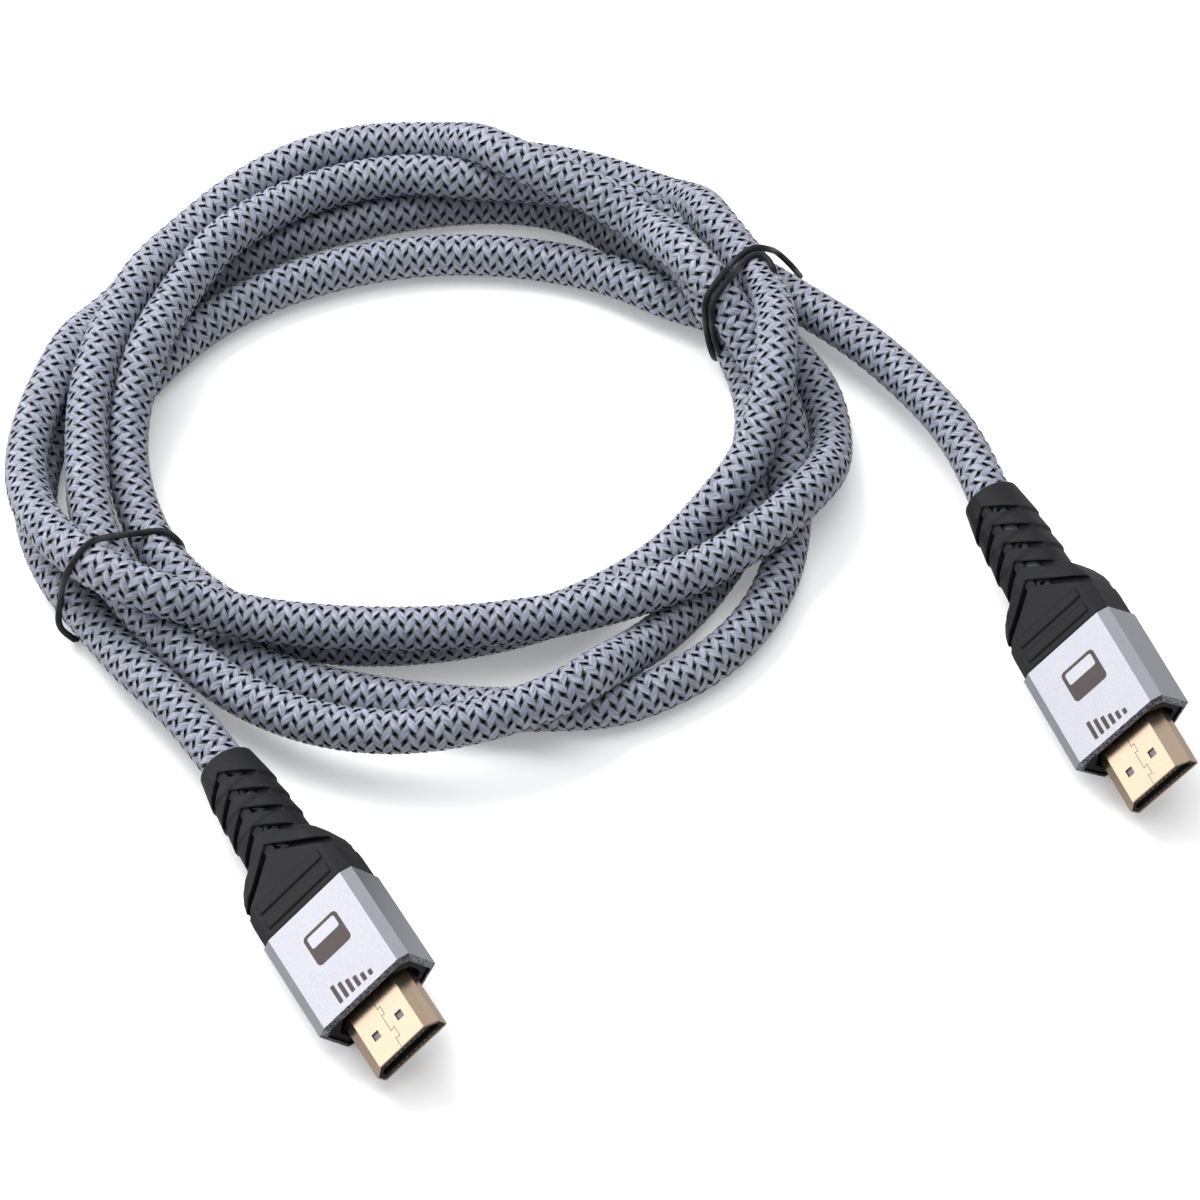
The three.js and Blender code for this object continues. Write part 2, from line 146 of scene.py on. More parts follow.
@dataclass(frozen=True)
class BadgeSize:
    """The badge, its field and the row of bars, each bar longer than the one before."""

    plate: PanelSize = PanelSize(6, 7.4, 0.06, -12.3, 0.4, 0.01, 0.8)
    field: PanelSize = PanelSize(2.2, 6, 0.04, -13.6, 0.4, 0.045, 0.4)
    bar: PanelSize = PanelSize(1, 0.75, 0.06, -2.3, 3.4, 0.01, 0.15)
    bars: int = 6
    longer: float = 0.5
    pitch: float = 1.35


@dataclass(frozen=True)
class SeamSize:
    """The seam with its two dovetails on the shell's top, in millimetres."""

    line: tuple = ((9.9, 0), (8, 0), (8.25, 0.8), (6.3, 0.8), (6.55, 0), (3.3, 0), (3.5, 0.6), (1.9, 0.6),
                   (2.1, 0), (0.2, 0))
    width: float = 0.09
    thick: float = 0.03
    overlap: float = 0.05


@dataclass(frozen=True)
class LampSize:
    """A soft square lamp aimed at the middle, in metres and watts; only a mirrored one shows in gloss."""

    name: str
    place: tuple[float, float, float]
    size: float
    power: float
    mirrored: bool


LAMPS = (
    LampSize("key", (-0.45, 0.55, 0.85), 0.6, 13, False),
    LampSize("top", (0.1, 0.1, 1.2), 0.8, 6, False),
    LampSize("side", (-1.0, 0.2, 0.5), 0.9, 2.6, True),
)


# Points of the tail from plug A to the coil, and of the tail from the coil to plug B, as they lie
TAIL_A_ROUTE = [(-37.7, -66.8, 8.2), (-41.3, -61.8, 7.8), (-44.9, -56.6, 7.8)]
TAIL_B_ROUTE = [(94.3, -11.8, 11.9), (91.3, -5, 10.8), (88.1, 0.5, 9.8), (84.7, 5.8, 8.9), (79.4, 13.1, 8.2),
                (74.9, 19.5, 7.8)]

# Five passes round the oval as the photograph shows them: degrees round it, lane outside the oval as seen,
# and height of the cord's middle, both in diameters. Each pass goes clockwise, and below zero runs on.
PASSES = [
    [(220, 1.66, .6), (215, 1.6, .5), (210, 1.5, .5), (200, 1.37, .5), (190, 1, .5), (180, .55, .5),
     (170, .08, .5), (160, -.42, .55), (150, -.6, .5), (140, -.62, .5), (130, -.64, .5), (120, -.64, .5),
     (105, -.58, .5), (90, -.35, .5), (80, -.13, .5), (70, .02, .5), (60, -.05, .5), (50, -.3, .55),
     (45, -.42, .7), (40, -.5, .9), (35, -.58, 1.1), (30, -.68, 1.15), (25, -.72, 1), (15, -.78, .6),
     (5, -.75, .5), (0, -.7, .5), (-10, -.65, .5), (-15, -.6, .5), (-20, -.45, .5), (-25, -.3, .5),
     (-30, -.1, .5), (-40, .3, .5), (-50, .62, .5), (-55, .8, .6), (-60, .93, .75), (-65, 1.1, .95),
     (-70, 1.27, 1.2), (-75, 1.45, 1.4), (-80, 1.57, 1.5), (-85, 1.72, 1.5), (-90, 1.95, 1.4),
     (-95, 1.97, 1.3), (-100, 1.97, 1.25), (-105, 1.9, 1.2)],
    [(250, 1.78, 1.15), (245, 1.6, 1.1), (240, 1.38, 1.1), (235, 1.13, 1.1), (230, .95, 1.15),
     (225, .75, 1.25), (220, .5, 1.3), (210, .08, 1.37), (205, -.13, 1.37), (200, -.28, 1.37),
     (190, -.47, 1.4), (180, -.5, 1.45), (170, -.48, 1.5), (160, -.35, 1.6), (155, -.22, 1.65),
     (150, -.12, 1.7), (145, .03, 1.65), (140, .2, 1.6), (135, .4, 1.55), (130, .65, 1.5), (125, .93, 1.5),
     (120, 1.17, 1.5), (115, 1.4, 1.5), (110, 1.6, 1.5), (105, 1.7, 1.5), (100, 1.75, 1.5), (95, 1.67, 1.55),
     (90, 1.55, 1.6), (85, 1.35, 1.75), (80, 1.05, 1.95), (75, .88, 2), (70, .7, 1.95), (60, .38, 1.8),
     (50, .05, 1.7), (45, -.07, 1.7), (40, -.2, 1.85), (35, -.3, 2), (30, -.35, 2), (25, -.42, 1.85),
     (20, -.45, 1.65), (15, -.5, 1.5), (10, -.48, 1.4), (5, -.4, 1.35), (0, -.3, 1.2), (-5, -.15, 1),
     (-10, -.05, .8), (-15, .2, .6), (-20, .55, .5), (-25, .9, .5), (-30, 1.2, .5), (-35, 1.5, .5),
     (-40, 1.75, .5), (-45, 1.93, .5), (-50, 2.02, .5), (-55, 2.1, .5), (-60, 2.1, .5), (-65, 1.97, .5),
     (-70, 1.8, .5), (-75, 1.62, .5), (-80, 1.5, .5), (-85, 1.35, .5), (-90, 1.22, .5), (-95, 1.1, .5),
     (-100, 1, .5)],
    [(250, .95, .5), (240, .85, .5), (230, .65, .5), (220, .5, .5), (210, .32, .5), (200, .1, .5),
     (195, 0, .5), (190, -.12, .5), (185, -.3, .5), (180, -.5, .5), (175, -.75, .5), (170, -1, .5),
     (165, -1.2, .5), (160, -1.33, .5), (155, -1.45, .5), (150, -1.55, .5), (140, -1.72, .5),
     (130, -1.83, .5), (120, -1.93, .5), (105, -1.95, .5), (90, -1.88, .5), (75, -1.77, .5), (60, -1.55, .5),
     (50, -1.35, .5), (45, -1.17, .5), (40, -1, .5), (35, -.8, .5), (30, -.55, .5), (25, -.25, .5),
     (20, .1, .5), (15, .5, .5), (10, .73, .5), (5, .87, .5), (0, .95, .5), (-5, .97, .5), (-10, .93, .7),
     (-15, .78, 1), (-20, .63, 1.3), (-25, .48, 1.45), (-30, .3, 1.5), (-40, 0, 1.5), (-50, -.32, 1.5),
     (-60, -.57, 1.45), (-70, -.73, 1.4), (-80, -.85, 1.4), (-90, -.87, 1.4), (-100, -.8, 1.4)],
    [(250, -.6, 1.4), (245, -.48, 1.45), (240, -.33, 1.55), (235, -.13, 1.7), (230, .04, 1.9),
     (225, .28, 2.1), (220, .48, 2.2), (215, .65, 2.2), (210, .85, 2.05), (205, .98, 1.8), (200, 1.05, 1.55),
     (195, 1.06, 1.45), (190, .98, 1.45), (180, .7, 1.45), (175, .52, 1.4), (170, .4, 1.25), (165, .25, 1),
     (160, .12, .75), (155, .08, .55), (150, .12, .5), (145, .2, .5), (140, .32, .5), (130, .6, .5),
     (120, .9, .5), (110, 1.15, .5), (100, 1.25, .5), (90, 1.25, .5), (82, 1.28, .5), (75, 1.33, .5),
     (65, 1.38, .5), (55, 1.3, .6), (50, 1.22, .8), (45, 1.1, 1.05), (40, 1, 1.3), (35, .85, 1.5),
     (30, .7, 1.6), (25, .5, 1.75), (20, .3, 1.95), (15, .1, 2.1), (10, -.1, 2.2), (5, -.25, 2.2),
     (0, -.4, 2.1), (-5, -.57, 1.9), (-10, -.67, 1.6), (-15, -.78, 1.4), (-20, -.87, 1.15), (-25, -.92, .85),
     (-30, -.92, .65), (-35, -.95, .5), (-40, -.95, .5), (-50, -.87, .5), (-60, -.8, .5), (-70, -.68, .5),
     (-80, -.6, .5), (-90, -.47, .5), (-100, -.32, .5)],
    [(250, -.13, .5), (240, -.1, .5), (235, -.12, .5), (230, -.2, .5), (225, -.3, .5), (220, -.45, .5),
     (210, -.75, .5), (205, -.88, .5), (200, -1, .55), (195, -1.1, .7), (190, -1.18, .9), (185, -1.2, 1.1),
     (180, -1.22, 1.3), (175, -1.22, 1.4), (170, -1.2, 1.45), (165, -1.15, 1.45), (160, -1.05, 1.4),
     (155, -.92, 1.4), (150, -.8, 1.4), (145, -.63, 1.4), (140, -.38, 1.4), (130, -.02, 1.4), (120, .22, 1.4),
     (110, .5, 1.4), (100, .6, 1.4), (90, .6, 1.4), (80, .55, 1.35), (70, .45, 1.2), (60, .45, .95),
     (50, .5, .65), (45, .55, .5), (40, .6, .5), (35, .7, .5), (30, .85, .5), (25, 1.1, .55), (20, 1.38, .7)],
]

# Plug poses: the plug's own x, y and z axes and the place where its shell leaves its housing, in millimetres
PLUG_AXES = {
    "plug_a": ((0.49693, -0.86768, 0.01396), (0.71724, 0.41972, 0.55624), (-0.4885, -0.2664, 0.8309),
               (-37.7275, -71.7170, 9.3121)),
    "plug_b": ((0.38399, -0.92247, -0.04013), (0.65696, 0.24241, 0.7139), (-0.64882, -0.30049, 0.6991),
               (85.6725, -23.7170, 10.0836)),
}


class Oval:
    """The oval that the cord's turns follow."""

    def __init__(self, size: CordSize, elevation: float) -> None:
        """Keep the sizes and the camera's elevation, which shifts what is read above the floor."""
        self.size = size
        self.shift = 1 / math.tan(math.radians(elevation))

    def outward(self, degrees: float) -> np.ndarray:
        """Give the unit vector out of the oval.

        Args:
            degrees: angle round the oval.

        Returns:
            The vector, which lies flat.
        """
        turn = math.radians(degrees)
        across = np.array((math.cos(turn) / self.size.semi_x, math.sin(turn) / self.size.semi_y, 0))
        return across / np.linalg.norm(across)

    def lift(self, degrees: np.ndarray) -> np.ndarray:
        """Give how far the turns rise off the floor over a tie's wire.

        Args:
            degrees: angles round the oval.

        Returns:
            The rise at each angle, in millimetres.
        """
        size = self.size
        away = [(degrees - tie + 180) % 360 - 180 for tie in size.tie_angles]
        return sum(size.tie_lift * np.exp(-(gap / size.tie_spread) ** 4) for gap in away)

    def floor(self, points: np.ndarray) -> np.ndarray:
        """Give how high the floor, or a tie's wire on it, is under points.

        Args:
            points: rows of points, in millimetres.

        Returns:
            One height for each point.
        """
        flat = points - np.array(self.size.centre)
        turns = np.degrees(np.arctan2(flat[:, 1] / self.size.semi_y, flat[:, 0] / self.size.semi_x))
        out = np.hypot(flat[:, 0] / self.size.semi_x, flat[:, 1] / self.size.semi_y)
        return self.lift(turns) * (out < self.size.bundle_reach)

    def point(self, degrees: float, lane: float, height: float) -> np.ndarray:
        """Place a reading of the cord.

        Args:
            degrees: angle round the oval.
            lane: distance outside the oval as the photograph shows it, in diameters.
            height: of the cord's middle over the floor, in diameters.

        Returns:
            The point in the CAD frame, in millimetres.
        """
        size = self.size
        outward = self.outward(degrees)
        level = height * size.diameter + float(self.lift(np.array(degrees)))
        out = lane * size.diameter - (level - size.read_height) * self.shift * outward[1]
        turn = math.radians(degrees)
        base = np.array((size.semi_x * math.cos(turn), size.semi_y * math.sin(turn), level))
        return base + outward * out + np.array(size.centre)


class Route:
    """A smooth line through points, in millimetres."""

    def __init__(self, points: np.ndarray, step: float) -> None:
        """Draw a centripetal curve through the points and keep it as evenly spaced points."""
        self.step = step
        self.points = self._even(self._curve(np.asarray(points, float)))

    @staticmethod
    def _curve(points: np.ndarray, parts: int = 12) -> np.ndarray:
        """Give the curve's points.

        Args:
            points: that the curve goes through.
            parts: number of points from each given one up to the next.

        Returns:
            The points in rows.
        """
        ends = np.vstack((2 * points[0] - points[1], points, 2 * points[-1] - points[-2]))
        rows = []
        for i in range(len(points) - 1):
            a, b, c, d = ends[i:i + 4]
            gaps = [math.sqrt(np.linalg.norm(q - p)) for p, q in ((a, b), (b, c), (c, d))]
            m1 = (b - a) / gaps[0] - (c - a) / (gaps[0] + gaps[1]) + (c - b) / gaps[1]
            m2 = (c - b) / gaps[1] - (d - b) / (gaps[1] + gaps[2]) + (d - c) / gaps[2]
            for k in range(parts):
                t = k / parts
                h = ((1 + 2 * t) * (1 - t) ** 2, t * (1 - t) ** 2, t * t * (3 - 2 * t), t * t * (t - 1))
                rows.append(h[0] * b + h[1] * m1 * gaps[1] + h[2] * c + h[3] * m2 * gaps[1])
        rows.append(points[-1])
        return np.array(rows)

    def _even(self, points: np.ndarray) -> np.ndarray:
        """Space points evenly along their line.

        Args:
            points: rows of points.

        Returns:
            The new rows, about a step apart.
        """
        runs = np.concatenate(([0], np.cumsum(np.linalg.norm(np.diff(points, axis=0), axis=1))))
        count = max(2, round(runs[-1] / self.step))
        marks = np.linspace(0, runs[-1], count + 1)
        return np.stack([np.interp(marks, runs, points[:, axis]) for axis in range(3)], axis=1)

    @property
    def length(self) -> float:
        """Length of the line."""
        return float(np.linalg.norm(np.diff(self.points, axis=0), axis=1).sum())

    def smooth(self, rounds: int, held: int) -> None:
        """Ease the line.

        Args:
            rounds: number of passes.
            held: number of points at each end that stay.
        """
        for _ in range(rounds):
            middle = (self.points[:-2] + 2 * self.points[1:-1] + self.points[2:]) / 4
            self.points[1 + held:-1 - held] = middle[held:len(middle) - held]

    def _apart(self, diameter: float, gap: float = SettleSize.apart) -> np.ndarray:
        """Tell for each pair of points whether they are more than a gap of so many diameters apart along."""
        order = np.arange(len(self.points))
        return np.abs(order[:, None] - order[None, :]) * self.step > gap * diameter

    def settle(self, diameter: float, view: np.ndarray, floor: Callable[[np.ndarray], np.ndarray],
               size: SettleSize, held: int) -> None:
        """Push turns that cut into each other apart, mostly along the line of sight.

        Args:
            diameter: of the cord.
            view: unit vector along the line of sight, in which a move doesn't show.
            floor: gives the height of what lies under points.
            size: the rounds and shares.
            held: number of points at each end that stay.
        """
        start = self.points.copy()
        order = np.arange(len(start))
        apart = self._apart(diameter, size.apart)
        free = ((order >= held) & (order < len(start) - held)).astype(float)[:, None]
        for _ in range(size.rounds):
            gap = self.points[:, None, :] - self.points[None, :, :]
            reach = np.linalg.norm(gap, axis=2) + 1e-9
            push = np.where(apart & (reach < diameter), (diameter - reach) / reach, 0)
            move = size.push * (gap * push[:, :, None]).sum(axis=1)
            for _ in range(size.spread_rounds):
                move[1:-1] = (move[:-2] + 2 * move[1:-1] + move[2:]) / 4
            self.points += move * free
            shown = self.points - start
            shown -= np.outer(shown @ view, view)
            self.points -= size.pull * shown * free
            self.points[:, 2] = np.maximum(self.points[:, 2], diameter / 2 + floor(self.points))
        self.points = self._even(self.points)

    def nearest(self, diameter: float) -> float:
        """Give the least distance between turns.

        Args:
            diameter: of the cord.

        Returns:
            The distance from middle to middle, in millimetres.
        """
        reach = np.linalg.norm(self.points[:, None, :] - self.points[None, :, :], axis=2)
        return float(reach[self._apart(diameter)].min())

    def bends(self, span: int = 3, shown: int = 8) -> list[tuple[float, int]]:
        """Give the tightest bends.

        Args:
            span: number of points to each side that a bend is measured over.
            shown: number of bends.

        Returns:
            Their radius and distance along, in millimetres.
        """
        a, b, c = self.points[:-2 * span], self.points[span:-span], self.points[2 * span:]
        area = np.linalg.norm(np.cross(b - a, c - a), axis=1) + 1e-9
        sides = [np.linalg.norm(q - p, axis=1) for p, q in ((a, b), (b, c), (a, c))]
        radius = sides[0] * sides[1] * sides[2] / (2 * area)
        tight = np.argsort(radius)[:shown]
        return [(round(float(radius[i]), 1), round((int(i) + span) * self.step)) for i in tight]


class Tube:
    """Frames along a route, carried without twist, for sweeping sections."""

    def __init__(self, points: np.ndarray) -> None:
        """Work out the frames of a line of points."""
        self.points = points
        along = np.gradient(points, axis=0)
        self.along = along / np.linalg.norm(along, axis=1)[:, None]
        side = np.cross(self.along[0], (0, 0, 1))
        sides = [side / np.linalg.norm(side)]
        for direction in self.along[1:]:
            side = sides[-1] - direction * np.dot(sides[-1], direction)
            sides.append(side / np.linalg.norm(side))
        self.side = np.array(sides)
        self.up = np.cross(self.side, self.along)

    def ring(self, radius: float, sides: int) -> np.ndarray:
        """Give the rings of a round tube.

        Args:
            radius: of the tube.
            sides: number of points in a ring.

        Returns:
            The rings as rows of points.
        """
        turns = np.arange(sides) * 2 * math.pi / sides
        return self.points[:, None, :] + radius * self.out(turns[None, :])

    def out(self, turns: np.ndarray) -> np.ndarray:
        """Give the unit vectors out of the tube.

        Args:
            turns: angles round the tube in radians, in a row for each point along it or in one for all.

        Returns:
            The vectors, in rows as the angles.
        """
        across, high = np.cos(turns)[..., None], np.sin(turns)[..., None]
        return self.side[:, None, :] * across + self.up[:, None, :] * high


class MeshMaker:
    """Collects grids of points into one mesh."""

    def __init__(self) -> None:
        """Start empty."""
        self.points: list[np.ndarray] = []
        self.faces: list[np.ndarray] = []
        self.marks: list[np.ndarray] = []
        self.count = 0

    def grid(self, rows: np.ndarray, marks: np.ndarray, closed: bool) -> None:
        """Add a grid of points.

        Args:
            rows: points as rows, along and then across.
            marks: for each point its place across and along, and its level from -1, under, to 1, over.
            closed: whether the last column joins the first.
        """
        length, width = rows.shape[:2]
        index = np.arange(length * width).reshape(length, width) + self.count
        after = np.roll(index, -1, axis=1)
        if not closed:
            index, after = index[:, :-1], after[:, :-1]
        quads = np.stack((index[:-1], index[1:], after[1:], after[:-1]), axis=-1).reshape(-1, 4)
        self.points.append(rows.reshape(-1, 3))
        self.marks.append(marks.reshape(-1, 3))
        self.faces.append(quads)
        self.count += length * width

    def cap(self, ring: np.ndarray, turned: bool) -> None:
        """Close the end of a tube with a fan round its middle.

        Args:
            ring: its last ring.
            turned: whether the fan faces along the tube rather than back.
        """
        width = len(ring)
        index = np.arange(width) + self.count
        after = np.roll(index, -1)
        middle = np.full(width, self.count + width)
        order = (after, index, middle, middle) if turned else (index, after, middle, middle)
        self.points.append(np.vstack((ring, ring.mean(axis=0))))
        self.marks.append(np.zeros((width + 1, 3)))
        self.faces.append(np.stack(order, axis=-1))
        self.count += width + 1

    def build(self, name: str) -> bpy.types.Object:
        """Make the object, smooth, with the marks as its UV map.

        Args:
            name: of the piece.

        Returns:
            The new object, in metres.
        """
        corners = np.vstack(self.faces).tolist()
        faces = [[i for k, i in enumerate(face) if k == 0 or i != face[k - 1]] for face in corners]
        mesh = bpy.data.meshes.new(name)
        mesh.from_pydata((np.vstack(self.points) * MM).tolist(), [], faces)
        marks = np.vstack(self.marks)
        used = np.empty(len(mesh.loops), int)
        mesh.loops.foreach_get("vertex_index", used)
        layer = mesh.uv_layers.new(name="place")
        layer.data.foreach_set("uv", marks[used, :2].astype(np.float32).ravel())
        level = mesh.attributes.new("level", "FLOAT", "POINT")
        level.data.foreach_set("value", marks[:, 2].astype(np.float32))
        mesh.polygons.foreach_set("use_smooth", [True] * len(mesh.polygons))
        piece = bpy.data.objects.new(name, mesh)
        bpy.context.collection.objects.link(piece)
        return piece


class Shader:
    """A material and short calls for its nodes."""

    def __init__(self, name: str) -> None:
        """Make a material with its own tree."""
        self.material = bpy.data.materials.new(name)
        self.material.use_nodes = True
        self.tree = self.material.node_tree
        self.surface = self.tree.nodes["Principled BSDF"]

    def node(self, kind: str, values: dict | None = None, **settings) -> bpy.types.Node:
        """Add a node.

        Args:
            kind: its class name.
            values: for its input sockets, either a value or another node's output.
            settings: its own properties.

        Returns:
            The node.
        """
        made = self.tree.nodes.new(kind)
        for key, value in settings.items():
            setattr(made, key, value)
        self.feed(made, values or {})
        return made

    def feed(self, node: bpy.types.Node, values: dict) -> None:
        """Set a node's inputs or link them.

        Args:
            node: the node.
            values: a value or another node's output for each input.
        """
        for key, value in values.items():
            if isinstance(value, bpy.types.NodeSocket):
                self.tree.links.new(value, node.inputs[key])
            else:
                node.inputs[key].default_value = value

    def math(self, operation: str, *values) -> bpy.types.NodeSocket:
        """Work out one number."""
        return self.node("ShaderNodeMath", dict(enumerate(values)), operation=operation).outputs[0]

    def mix(self, factor: "bpy.types.NodeSocket | float", low: "bpy.types.NodeSocket | tuple",
            high: "bpy.types.NodeSocket | tuple") -> bpy.types.NodeSocket:
        """Blend two colours or two outputs."""
        made = self.node("ShaderNodeMix", {0: factor, 6: low, 7: high}, data_type="RGBA")
        return made.outputs[2]

    def noise(self, place: bpy.types.NodeSocket, scale: float, detail: float = 3,
              rough: float = 0.5) -> bpy.types.NodeSocket:
        """Give a noise at a place."""
        values = {"Vector": place, "Scale": scale, "Detail": detail, "Roughness": rough}
        return self.node("ShaderNodeTexNoise", values).outputs["Fac"]

    def ramp(self, value: bpy.types.NodeSocket, start: float, end: float, low: float = 0,
             high: float = 1) -> bpy.types.NodeSocket:
        """Map what goes from start to end onto what goes from low to high."""
        return self.node("ShaderNodeMapRange", {"Value": value, "From Min": start, "From Max": end,
                                                "To Min": low, "To Max": high}).outputs[0]

    def bump(self, height: bpy.types.NodeSocket, strength: float, distance: float,
             rounding: float = 0) -> bpy.types.NodeSocket:
        """Give a bumped normal.

        Args:
            height: that makes the bumps.
            strength: share of them that shows.
            distance: their height in metres.
            rounding: radius that edges look rounded by, in metres.

        Returns:
            The normal.
        """
        values = {"Height": height, "Strength": strength, "Distance": distance}
        if rounding:
            values["Normal"] = self.node("ShaderNodeBevel", {"Radius": rounding}, samples=4).outputs[0]
        return self.node("ShaderNodeBump", values).outputs[0]

    def here(self) -> bpy.types.NodeSocket:
        """Give the object's own coordinates, in metres."""
        return self.node("ShaderNodeTexCoord").outputs["Object"]


def grey(level: float) -> tuple[float, float, float, float]:
    """Give a neutral colour."""
    return (level, level, level, 1)


class Finish:
    """A finish that gives one material."""

    def shader(self) -> Shader:
        """Build the material."""
        raise NotImplementedError

    @property
    def material(self) -> bpy.types.Material:
        """Give the material."""
        return self.shader().material


@dataclass(frozen=True)
class BraidYarn(Finish):
    """Flat bundles of silver grey filament: the UV runs across each bundle and along it in millimetres."""

    light: tuple = (0.39, 0.41, 0.5, 1)
    dark: tuple = (0.08, 0.085, 0.115, 1)
    # black: what the painted shade at bundle edges and under-passes darkens towards.
    black: tuple = (0.006, 0.006, 0.008, 1)
    filaments: float = 5

    def shader(self) -> Shader:
        """Build the yarn with its filaments, with painted shade at each bundle's edges and where it passes
        under.
        """
        made = Shader("braid_yarn")
        place = made.node("ShaderNodeUVMap", uv_map="place").outputs[0]
        parts = made.node("ShaderNodeSeparateXYZ", {0: place})
        across, run = parts.outputs[0], parts.outputs[1]
        stretched = made.node("ShaderNodeCombineXYZ", {0: made.math("MULTIPLY", across, self.filaments),
                                                       1: made.math("MULTIPLY", run, 0.35)}).outputs[0]
        strand = made.noise(stretched, 1.6, 2, 0.6)
        clumps = made.noise(stretched, 0.5, 1)
        tone = made.math("ADD", made.math("MULTIPLY", strand, 0.75), made.math("MULTIPLY", clumps, 0.35))
        sheen = made.ramp(tone, 0.33, 0.72)
        colour = made.mix(sheen, self.dark, self.light)
        # Painted shade: each bundle darkens towards its edges, standing in for the shade between bundles.
        middle = made.math("ABSOLUTE", made.math("SUBTRACT", across, 0.5))
        edge = made.ramp(middle, 0.38, 0.5, 0, 0.8)
        # Painted shade: where a bundle passes under the others it darkens towards black, standing in for the
        # shade in the gaps.
        level = made.node("ShaderNodeAttribute", attribute_name="level").outputs["Fac"]
        painted_under_shade = made.ramp(level, -0.1, -0.85, 0, 0.92)
        shaded = made.mix(made.math("MAXIMUM", edge, painted_under_shade), colour, self.black)
        made.feed(made.surface, {"Base Color": shaded, "Roughness": 0.42, "Specular IOR Level": 0.6,
                                 "Sheen Weight": 0.15, "Normal": made.bump(strand, 0.5, 0.00012)})
        return made


@dataclass(frozen=True)
class BlackPlastic(Finish):
    """Moulded black plastic with a fine grain."""

    name: str
    level: float = 0.018
    roughness: float = 0.5
    grain: float = 0.00003
    scale: float = 2600
    rounding: float = 0.0

    def _tint(self, share: float) -> tuple:
        """Give the black, slightly blue, at a share of its level."""
        return (self.level * share, self.level * share, self.level * share * 1.2, 1)

    def shader(self) -> Shader:
        """Build the plastic."""
        made = Shader(self.name)
        here = made.here()
        fine = made.noise(here, self.scale, 2)
        wide = made.noise(here, 120, 3)
        colour = made.mix(wide, self._tint(0.8), self._tint(1.5))
        rough = made.ramp(wide, 0, 1, self.roughness - 0.06, self.roughness + 0.08)
        made.feed(made.surface, {"Base Color": colour, "Roughness": rough, "Specular IOR Level": 0.35,
                                 "Normal": made.bump(fine, 0.6, self.grain, self.rounding)})
        return made


@dataclass(frozen=True)
class Metal(Finish):
    """Metal with fine blasting or polish and slight clouding, and brighter polish in front of a plane."""

    name: str
    light: tuple
    dark: tuple
    roughness: float
    grain: float
    scale: float = 5200
    rounding: float = 0.0
    axis: tuple = (0, 0, 0)
    rim: float = 0.0
    blend: float = 0.00005

    def shader(self) -> Shader:
        """Build the metal."""
        made = Shader(self.name)
        here = made.here()
        fine = made.noise(here, self.scale, 2, 0.7)
        wide = made.noise(here, 260, 3)
        speck = made.ramp(fine, 0.3, 0.7)
        mixed = made.math("ADD", made.math("MULTIPLY", speck, 0.6), made.math("MULTIPLY", wide, 0.4))
        rough = made.ramp(wide, 0, 1, self.roughness - 0.05, self.roughness + 0.07)
        colour = made.mix(mixed, self.dark, self.light)
        if any(self.axis):
            colour, rough = self._rim(made, here, colour, rough)
        made.feed(made.surface, {"Base Color": colour, "Metallic": 1.0, "Roughness": rough,
                                 "Normal": made.bump(fine, 0.5, self.grain, self.rounding)})
        return made

    def _rim(self, made: Shader, here: bpy.types.NodeSocket, colour: bpy.types.NodeSocket,
             rough: bpy.types.NodeSocket) -> tuple[bpy.types.NodeSocket, bpy.types.NodeSocket]:
        """Blend in the polished and nicked edge in front of the plane.

        Args:
            made: the shader that is being built.
            here: its coordinates.
            colour: of the metal behind the plane.
            rough: its roughness.

        Returns:
            The colour and the roughness of both.
        """
        aimed = made.node("ShaderNodeVectorMath", {0: here, 1: self.axis}, operation="DOT_PRODUCT")
        front = made.ramp(aimed.outputs["Value"], self.rim - self.blend, self.rim + self.blend)
        nick = made.ramp(made.noise(here, 2400, 3, 0.8), 0.42, 0.6)
        polished = made.mix(nick, (0.1, 0.1, 0.12, 1), (0.55, 0.56, 0.62, 1))
        smooth = made.math("SUBTRACT", rough, made.math("MULTIPLY", front, 0.16))
        return made.mix(front, colour, polished), smooth


class Look(Enum):
    """The finishes of the CAD nodes and of the added pieces."""

    GOLD = Metal("gold_plate", (0.9, 0.7, 0.52, 1), (0.7, 0.53, 0.38, 1), 0.26, 0.000004, rounding=0.0002)
    CONTACT = Metal("contact_gold", (0.95, 0.72, 0.34, 1), (0.8, 0.56, 0.22, 1), 0.2, 0.000002)
    ALUMINIUM = Metal("blasted_aluminium", (0.74, 0.74, 0.8, 1), (0.5, 0.5, 0.56, 1), 0.34, 0.000012)
    INSULATOR = BlackPlastic("insulator", 0.014, 0.42, 0.000008)
    CORE = BlackPlastic("inner_core", 0.012, 0.5, 0.00001)
    BOOT = BlackPlastic("boot_plastic", 0.009, 0.48, 0.00004, 1900, 0.0005)
    WIRE = BlackPlastic("wire_coating", 0.012, 0.32, 0.00001)
    UNDER = BlackPlastic("braid_black_yarn", 0.008, 0.75, 0.00003)
    SEAM = BlackPlastic("seam_shadow", 0.03, 0.6, 0.00001)
    LATCH = Metal("latch_spring", (0.3, 0.3, 0.33, 1), (0.2, 0.2, 0.22, 1), 0.4, 0.000004)
    BADGE = Metal("engraved_print", (0.2, 0.17, 0.165, 1), (0.13, 0.11, 0.11, 1), 0.5, 0.00001)
    FIELD = Metal("engraved_field", (0.72, 0.72, 0.78, 1), (0.6, 0.6, 0.66, 1), 0.36, 0.00001)


